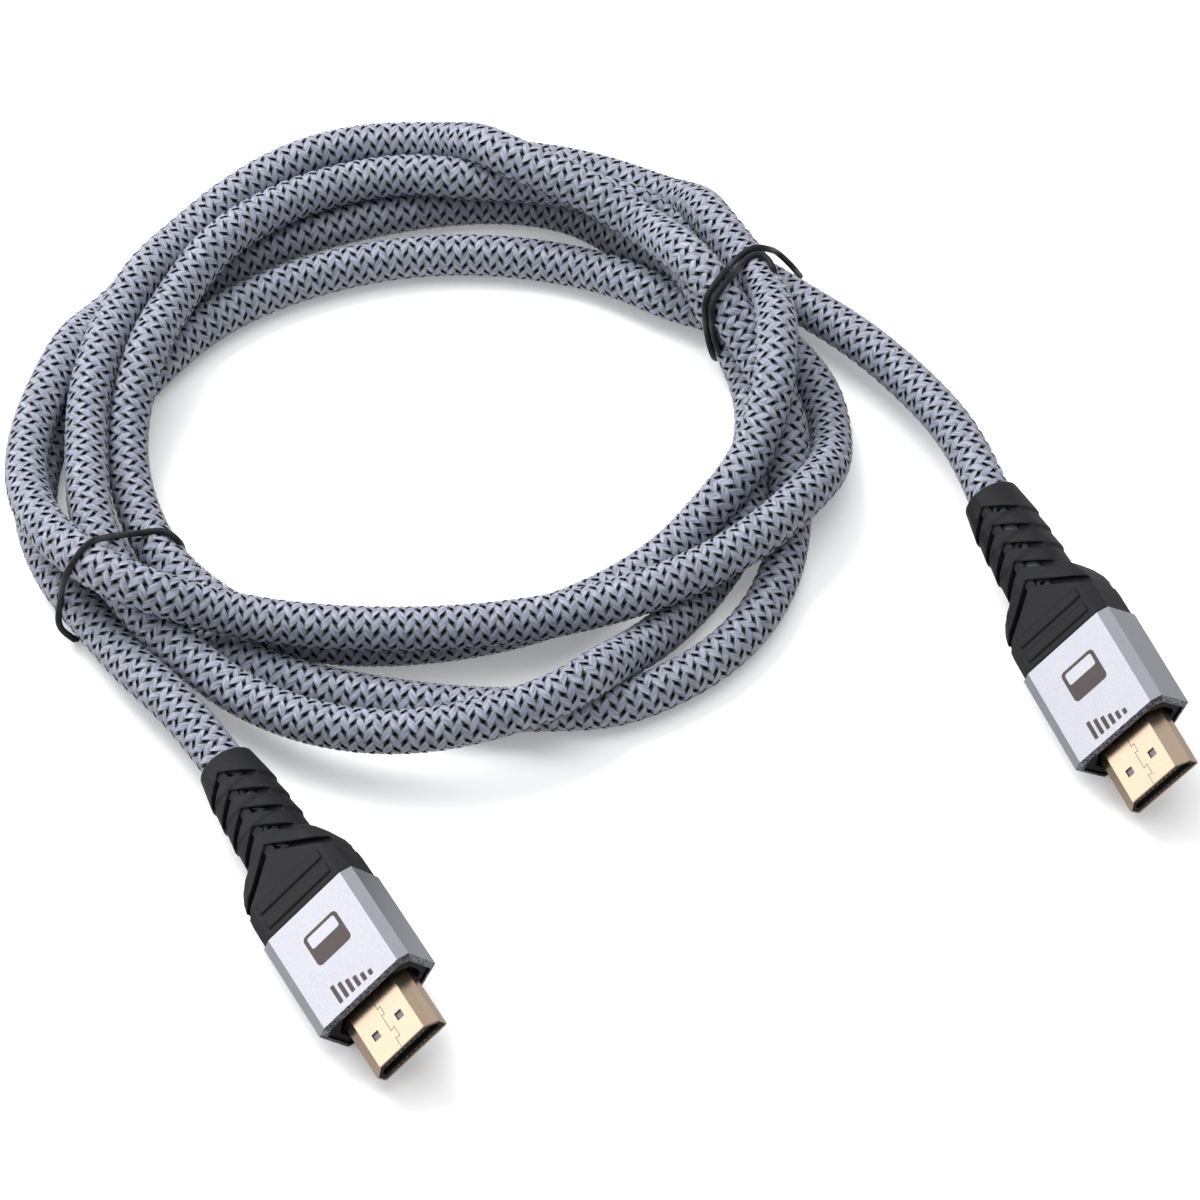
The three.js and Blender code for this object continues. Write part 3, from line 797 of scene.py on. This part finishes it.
class PhotoCamera:
    """The camera at the photograph's angle."""

    def __init__(self, size: CameraSize) -> None:
        """Work out its axes."""
        self.size = size
        tilt = math.radians(size.elevation)
        turn = math.radians(size.roll)
        low = Vector((0, -math.sin(tilt), -math.cos(tilt)))
        side = Vector((1, 0, 0))
        self.forward = Vector((0, math.cos(tilt), -math.sin(tilt)))
        self.right = side * math.cos(turn) + low * math.sin(turn)
        self.up = side * math.sin(turn) - low * math.cos(turn)
        self.eye = Vector(size.target) - self.forward * size.distance

    def build(self) -> None:
        """Make the camera and give it to the scene."""
        size = self.size
        data = bpy.data.cameras.new("camera")
        data.sensor_width = size.sensor
        data.sensor_fit = "HORIZONTAL"
        data.lens = size.lens
        data.clip_start = 0.01
        camera = bpy.data.objects.new("camera", data)
        bpy.context.collection.objects.link(camera)
        place = self.eye * MM
        axes = Matrix((self.right, self.up, -self.forward)).transposed().to_4x4()
        camera.matrix_world = Matrix.Translation(place) @ axes
        bpy.context.scene.camera = camera


class PlugPose:
    """Where a plug lies."""

    def __init__(self, name: str) -> None:
        """Read the plug's axes."""
        self.name = name
        *axes, origin = PLUG_AXES[name]
        self.axes = np.array(axes)
        self.origin = np.array(origin)

    def place(self, x: float, y: float, z: float) -> np.ndarray:
        """Give the place of a point of the plug in the CAD frame, in millimetres."""
        return self.origin + np.array((x, y, z)) @ self.axes

    @property
    def matrix(self) -> Matrix:
        """Give the pose as a matrix in metres, from the plug's millimetres."""
        rows = Matrix([list(row) for row in self.axes]).transposed().to_4x4()
        return Matrix.Translation(Vector(self.origin) * MM) @ rows @ Matrix.Scale(MM, 4)


class Cord:
    """The braided cord from plug to plug."""

    def __init__(self, size: CordSize, braid: BraidSize, plug: PlugSize, camera: PhotoCamera) -> None:
        """Keep the sizes and lay the route."""
        self.size = size
        self.braid = braid
        self.plug = plug
        self.camera = camera
        self.oval = Oval(size, camera.size.elevation)
        self.route = self._lay()

    def _in_boot(self, pose: PlugPose) -> list[np.ndarray]:
        """Give the points inside a plug's boot.

        Args:
            pose: of the plug.

        Returns:
            The points from the plug to the boot's mouth and out of it.
        """
        plug = self.plug
        depths = (plug.cord_in_boot, plug.cord_in_boot / 2, 0, -self.size.diameter / 2)
        return [pose.place(plug.boot_mouth + depth, 0, -plug.cord_drop) for depth in depths]

    def _lay(self) -> Route:
        """Join the tails and the passes to one route and settle it."""
        centre = np.array(self.size.centre)
        first = self._in_boot(PlugPose("plug_a"))
        last = self._in_boot(PlugPose("plug_b"))[::-1]
        tail_a = [np.array(p) + centre for p in TAIL_A_ROUTE]
        tail_b = [np.array(p) + centre for p in TAIL_B_ROUTE[::-1]]
        turns = [self.oval.point(*station) for stations in PASSES for station in stations]
        route = Route(np.array(first + tail_a + turns + tail_b + last), self.size.step)
        held = round(self.plug.cord_in_boot / self.size.step)
        settle = SettleSize()
        route.smooth(settle.rounds_before, held)
        route.settle(self.size.diameter, np.array(self.camera.forward), self.oval.floor, settle,
                     held + settle.held_more)
        route.smooth(settle.rounds_after, held)
        cut = self.size.diameter - route.nearest(self.size.diameter)
        log.info("turns cut into each other by %.2f mm at most", cut)
        log.info("tightest bends: %s", route.bends())
        return route

    def _ribbons(self, maker: MeshMaker) -> None:
        """Add the bundles that go round both ways, each over one and under one of the others.

        Args:
            maker: takes their grids.
        """
        braid = self.braid
        crossing = braid.lay / braid.carriers / 2
        count = round(self.route.length / (crossing * 2)) * braid.samples
        fine = Route(self.route.points, self.route.length / count)
        tube = Tube(fine.points)
        beat = np.arange(len(fine.points)) / braid.samples + braid.phase
        run = 2 * beat * crossing
        middle_radius = self.size.diameter / 2 - braid.over
        slope = 2 * math.pi * middle_radius / braid.lay
        stretch = math.sqrt(1 + slope ** 2)
        half = braid.width / 2 * stretch / middle_radius
        steps = np.array((-1, 0, 1))
        for way in (1, -1):
            for carrier in range(braid.carriers):
                turn = 2 * math.pi * (carrier / braid.carriers + way * run / braid.lay)
                wave = way * np.clip(braid.flatness * np.cos(2 * math.pi * beat), -1, 1)
                radius = middle_radius + braid.over * wave
                turns = turn[:, None] + half * steps[None, :]
                radii = radius[:, None] - braid.crown * np.abs(steps)[None, :]
                rows = fine.points[:, None, :] + radii[..., None] * tube.out(turns)
                number = carrier + braid.carriers * (way > 0)
                long = (run * stretch)[:, None] + braid.offset * number
                marks = np.stack(np.broadcast_arrays(steps[None, :] / 2 + 0.5, long, wave[:, None]), axis=-1)
                maker.grid(rows[:, ::-1], marks[:, ::-1], False)

    def build(self) -> bpy.types.Object:
        """Make the cord as one piece, the black inner yarn and the bundles over it."""
        braid = self.braid
        maker = MeshMaker()
        tube = Tube(Route(self.route.points, 2 * self.size.step).points)
        rings = tube.ring(braid.core_radius, braid.core_sides)
        maker.grid(rings, np.zeros(rings.shape[:2] + (3,)), True)
        maker.cap(rings[0], False)
        maker.cap(rings[-1], True)
        core_faces = sum(len(faces) for faces in maker.faces)
        self._ribbons(maker)
        piece = maker.build("cord")
        piece.data.materials.append(BraidYarn().material)
        piece.data.materials.append(Look.UNDER.value.material)
        for face in piece.data.polygons[:core_faces]:
            face.material_index = 1
        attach(piece, "root")
        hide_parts("cable_coil", "cable_tail_a", "cable_tail_b")
        return piece

    def declare(self) -> None:
        """Work out, in metres, where the cord leaves plug A's boot; nothing is done with it.
        """
        mouth = PlugPose("plug_a").place(self.plug.boot_mouth, 0, -self.plug.cord_drop) * MM


@dataclass(frozen=True)
class TieSize:
    """One tie: places of its wires as seen, given on the level of CordSize.read_height.

    Each wire's line goes from the outside of the bundle over the top to the inside, in millimetres; from there
    it closes under the bundle.
    """

    name: str
    lines: tuple
    wire: float = 1.15
    slack: float = 0.1
    pile: float = 3.2
    step: float = 0.8
    sides: int = 10


TIES = [
    TieSize("tie_a", (
        ((-90.8, 1.1), (-93.7, 4), (-93.8, 9.5), (-93.1, 15.5), (-90.4, 21.1), (-86.2, 23), (-81.1, 23.7),
         (-76.8, 24.1), (-74.6, 22.1), (-74, 18.8)),
    )),
    TieSize("tie_b", (
        ((35.1, 80.4), (33.4, 83.3), (31.7, 85.6), (29.4, 87.1), (27.6, 87.6), (25.7, 86.9), (23.8, 84.7),
         (21.6, 81.9), (19.1, 77.8), (17.8, 74.8), (17.7, 71.2), (17.9, 67.2), (18.5, 63.2), (20.1, 61.5)),
        ((30.6, 79.4), (30.4, 82), (29.6, 84.4), (28.2, 86), (26.4, 85.7), (24.8, 83.6), (22.7, 80.9),
         (20.3, 76.9), (19, 74), (18.9, 70.8), (19.1, 67), (19.8, 63.4), (21.3, 61.8)),
    )),
]


class WireTie:
    """A coated wire round the bundle of turns."""

    def __init__(self, size: TieSize, cord: Cord) -> None:
        """Keep the sizes and the cord that it holds."""
        self.size = size
        self.cord = cord

    def _sight(self, seen: tuple, heights: np.ndarray) -> np.ndarray:
        """Give points of a line of sight.

        Args:
            seen: x and y on the level that readings are given on.
            heights: of the points over the floor.

        Returns:
            The points.
        """
        eye = np.array(self.cord.camera.eye)
        aim = np.array((*seen, self.cord.size.read_height)) - eye
        return eye + aim * ((heights - eye[2]) / aim[2])[:, None]

    def _rest(self, seen: tuple) -> np.ndarray:
        """Lay the wire on the cord.

        Args:
            seen: x and y on the level that readings are given on.

        Returns:
            The highest point of that line of sight where the wire touches the cord, or where it is closest.
        """
        size = self.size
        heights = np.arange(self.cord.size.diameter * size.pile, size.wire / 2 + size.slack, -size.slack)
        places = self._sight(seen, heights)
        near = np.linalg.norm(places[:, None, :] - self.cord.route.points[None, :, :], axis=2).min(axis=1)
        touch = np.flatnonzero(near <= (self.cord.size.diameter + size.wire) / 2 + size.slack)
        return places[touch[0] if len(touch) else int(near.argmin())]

    def build(self) -> bpy.types.Object:
        """Make the tie as swept wires, closed under the turns."""
        size = self.size
        maker = MeshMaker()
        low = np.array((size.wire / 2 + size.slack,))
        for line in size.lines:
            start, end = self._sight(line[0], low)[0], self._sight(line[-1], low)[0]
            laid = [self._rest(seen) for seen in line[1:-1]]
            under = [end + (start - end) * share for share in (0.25, 0.5, 0.75)]
            closed = Route(np.array([start, *laid, end, *under, start]), size.step)
            closed.smooth(3, 0)
            rings = Tube(closed.points).ring(size.wire / 2, size.sides)
            maker.grid(rings, np.zeros(rings.shape[:2] + (3,)), True)
            maker.cap(rings[0], False)
            maker.cap(rings[-1], True)
        piece = maker.build(size.name + "_wire")
        piece.data.materials.append(Look.WIRE.value.material)
        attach(piece, "root")
        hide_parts(size.name)
        return piece


class Plug:
    """A plug's dressing: finishes on its CAD nodes, contacts and the plate on its top."""

    FINISHES = {
        "shell": Look.GOLD,
        "insulator": Look.INSULATOR,
        "core": Look.CORE,
        "housing": Look.ALUMINIUM,
        "boot": Look.BOOT,
    }

    def __init__(self, name: str, size: PlugSize) -> None:
        """Keep the plug's name, sizes and pose."""
        self.name = name
        self.size = size
        self.badge_size = BadgeSize()
        self.seam_size = SeamSize()
        self.pose = PlugPose(name)

    def dress(self) -> None:
        """Give the CAD nodes their materials."""
        for part, look in self.FINISHES.items():
            node = bpy.data.objects[f"{self.name}_{part}"]
            finish = look.value
            if part == "housing":
                axis = self.pose.axes[0]
                behind = -self.size.housing_edge - self.size.rim_overlap
                rim = float(axis @ self.pose.place(behind, 0, 0)) * MM
                finish = replace(finish, name=f"{self.name}_aluminium", axis=tuple(map(float, axis)), rim=rim)
            node.data.materials.clear()
            node.data.materials.append(finish.material)

    @staticmethod
    def _block(name: str, size: tuple, at: tuple, bevel: float) -> bpy.types.Object:
        """Shape a block in the plug's millimetres.

        Args:
            name: of the piece.
            size: its length along the plug, width and thickness.
            at: its middle.
            bevel: width of the bevel on its edges, or 0.

        Returns:
            The block.
        """
        bpy.ops.object.select_all(action="DESELECT")
        bpy.ops.mesh.primitive_cube_add(size=1)
        piece = bpy.context.object
        piece.name = name
        bpy.ops.object.mode_set(mode="EDIT")
        bpy.ops.transform.resize(value=size)
        bpy.ops.transform.translate(value=at)
        if bevel:
            bpy.ops.mesh.bevel(offset=bevel, segments=2, affect="EDGES")
        bpy.ops.object.mode_set(mode="OBJECT")
        return piece

    @staticmethod
    def _copies(first: bpy.types.Object, places: list[tuple]) -> list[bpy.types.Object]:
        """Copy a piece that stands in the middle of the plug to each place, and remove it.

        Args:
            first: the piece.
            places: in the plug's millimetres.

        Returns:
            The copies, each with its own mesh.
        """
        made = []
        for place in places:
            copy = first.copy()
            copy.data = first.data.copy()
            copy.data.transform(Matrix.Translation(place))
            bpy.context.collection.objects.link(copy)
            made.append(copy)
        bpy.data.objects.remove(first)
        return made

    def _seat(self, pieces: list[bpy.types.Object], part: str, look: Look) -> bpy.types.Object:
        """Args:
            pieces: in the plug's millimetres.
            part: name that the piece gets after the plug's.
            look: its finish.

        Returns:
            The piece.
        """
        bpy.ops.object.select_all(action="DESELECT")
        for piece in pieces:
            piece.select_set(True)
        bpy.context.view_layer.objects.active = pieces[0]
        if len(pieces) > 1:
            bpy.ops.object.join()
        joined = bpy.context.view_layer.objects.active
        joined.name = joined.data.name = f"{self.name}_{part}"
        joined.data.transform(self.pose.matrix)
        joined.data.materials.clear()
        joined.data.materials.append(look.value.material)
        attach(joined, "root")
        return joined

    def contacts(self) -> bpy.types.Object:
        """Make the two rows of contacts in the mouth of the insulator."""
        size = self.size
        first = self._block("contact", size.contact, (0, 0, 0), size.contact_bevel)
        places = [(size.insulator_front - size.contact_back, (i - (count - 1) / 2) * size.pitch,
                   -size.tongue_drop + side * size.row_offset)
                  for count, side in ((size.wide_row, -1), (size.narrow_row, 1)) for i in range(count)]
        return self._seat(self._copies(first, places), "contacts", Look.CONTACT)

    def _panel(self, name: str, size: PanelSize) -> bpy.types.Object:
        """Shape a thin panel with round corners on the housing's top, in the plug's millimetres.

        Args:
            name: of the piece.
            size: its sizes and place.

        Returns:
            The panel.
        """
        at = (size.x, size.y, self.size.housing_top + size.lift)
        piece = self._block(name, (size.length, size.width, size.thick), at, 0)
        bpy.ops.object.mode_set(mode="EDIT")
        bpy.ops.mesh.select_mode(type="EDGE")
        bpy.ops.mesh.select_all(action="DESELECT")
        bpy.ops.object.mode_set(mode="OBJECT")
        for edge in piece.data.edges:
            low, high = (piece.data.vertices[i].co for i in edge.vertices)
            edge.select = abs(low.z - high.z) > size.thick / 2
        bpy.ops.object.mode_set(mode="EDIT")
        bpy.ops.mesh.bevel(offset=size.corner, segments=4, affect="EDGES")
        bpy.ops.object.mode_set(mode="OBJECT")
        return piece

    def badge(self) -> list[bpy.types.Object]:
        """Make the bare badge on the housing's top, and a generic row of level bars in front of it."""
        size = self.badge_size
        bar = size.bar
        plate = self._panel("badge", size.plate)
        field = self._panel("field", size.field)
        bars = [self._panel("bar", replace(bar, length=bar.length + size.longer * i,
                                           x=bar.x - size.longer / 2 * i, y=bar.y - size.pitch * i))
                for i in range(size.bars)]
        return [self._seat([plate], "badge", Look.BADGE),
                self._seat([field], "badge_field", Look.FIELD),
                self._seat(bars, "bars", Look.BADGE)]

    def seam(self) -> bpy.types.Object:
        """Make the seam along the shell's top with its two dovetails."""
        size = self.seam_size
        top = self.size.shell_half_height
        strips = []
        for (x, y), (u, v) in zip(size.line, size.line[1:]):
            length = math.hypot(u - x, v - y) + size.overlap
            strip = self._block("strip", (length, size.width, size.thick), (0, 0, 0), 0)
            turn = Matrix.Rotation(math.atan2(v - y, u - x), 4, "Z")
            strip.data.transform(Matrix.Translation(((x + u) / 2, (y + v) / 2, top)) @ turn)
            strips.append(strip)
        return self._seat(strips, "seam", Look.SEAM)

    def latches(self) -> bpy.types.Object:
        """Make the grey springs that show in the shell's two holes."""
        size = self.size
        first = self._block("latch", size.latch, (0, 0, 0), size.latch_bevel)
        x, y, z = size.latch_at
        return self._seat(self._copies(first, [(x, -y, z), (x, y, z)]), "latches", Look.LATCH)

    def build(self) -> list[bpy.types.Object]:
        """Dress the CAD nodes and make all the added pieces."""
        self.dress()
        return [self.contacts(), *self.badge(), self.seam(), self.latches()]


class Studio:
    """The floor and the soft light."""

    def build(self) -> None:
        """Make the floor, the world and the lamps."""
        bpy.ops.object.select_all(action="DESELECT")
        bpy.ops.mesh.primitive_plane_add(size=6, location=(0, 0, -0.0002))
        floor = bpy.context.object
        floor.name = "floor"
        made = Shader("floor")
        cloud = made.noise(made.here(), 3)
        # Painted shade in reflections: glossy rays see the floor as dark grey; other rays see it pale and
        # glowing a little.
        mirrored = made.node("ShaderNodeLightPath").outputs["Is Glossy Ray"]
        colour = made.mix(mirrored, made.mix(cloud, grey(0.86), grey(0.9)), grey(0.3))
        glow = made.math("MULTIPLY", made.math("SUBTRACT", 1.0, mirrored), 0.22)
        made.feed(made.surface, {"Base Color": colour, "Roughness": 0.9, "Specular IOR Level": 0.1,
                                 "Emission Color": grey(1), "Emission Strength": glow})
        floor.data.materials.append(made.material)
        self._sky()
        for lamp in LAMPS:
            self._lamp(lamp)

    @staticmethod
    def _sky() -> None:
        """Make the world, brighter overhead and at the left than low at the right."""
        world = bpy.data.worlds.new("studio")
        world.use_nodes = True
        tree = world.node_tree
        place = tree.nodes.new("ShaderNodeTexCoord")
        slope = tree.nodes.new("ShaderNodeVectorMath")
        slope.operation = "DOT_PRODUCT"
        slope.inputs[1].default_value = (-0.45, 0.3, 0.85)
        level = tree.nodes.new("ShaderNodeMapRange")
        level.inputs["From Min"].default_value = -0.5
        level.inputs["From Max"].default_value = 1.0
        level.inputs["To Min"].default_value = 0.12
        level.inputs["To Max"].default_value = 0.68
        tree.links.new(place.outputs["Generated"], slope.inputs[0])
        tree.links.new(slope.outputs["Value"], level.inputs["Value"])
        tree.links.new(level.outputs[0], tree.nodes["Background"].inputs["Strength"])
        tree.nodes["Background"].inputs["Color"].default_value = (0.97, 0.98, 1, 1)
        bpy.context.scene.world = world

    @staticmethod
    def _lamp(size: LampSize) -> None:
        """Make a lamp.

        Args:
            size: its name, place, size and power.
        """
        data = bpy.data.lights.new(size.name, "AREA")
        data.size = size.size
        data.energy = size.power
        lamp = bpy.data.objects.new(size.name, data)
        lamp.location = size.place
        lamp.visible_glossy = size.mirrored
        lamp.rotation_euler = (-Vector(size.place)).to_track_quat("-Z", "Y").to_euler()
        bpy.context.collection.objects.link(lamp)


def report(piece: bpy.types.Object) -> None:
    """Log a piece."""
    log.info("%s: %d faces", piece.name, len(piece.data.polygons))


def main() -> None:
    """Build everything in order."""
    logging.basicConfig(level=logging.INFO, format="%(message)s")
    camera = PhotoCamera(CameraSize())
    camera.build()
    plug_size = PlugSize()
    cord = Cord(CordSize(), BraidSize(), plug_size, camera)
    piece = cord.build()
    report(piece)
    log.info("the cord is %.0f mm long", cord.route.length)
    ties = [WireTie(size, cord).build() for size in TIES]
    for tie in ties:
        report(tie)
    for name in PLUG_AXES:
        for made in Plug(name, plug_size).build():
            report(made)
    cord.declare()
    Studio().build()
    bpy.context.scene.view_settings.view_transform = "Standard"


if __name__ == "__main__":
    main()
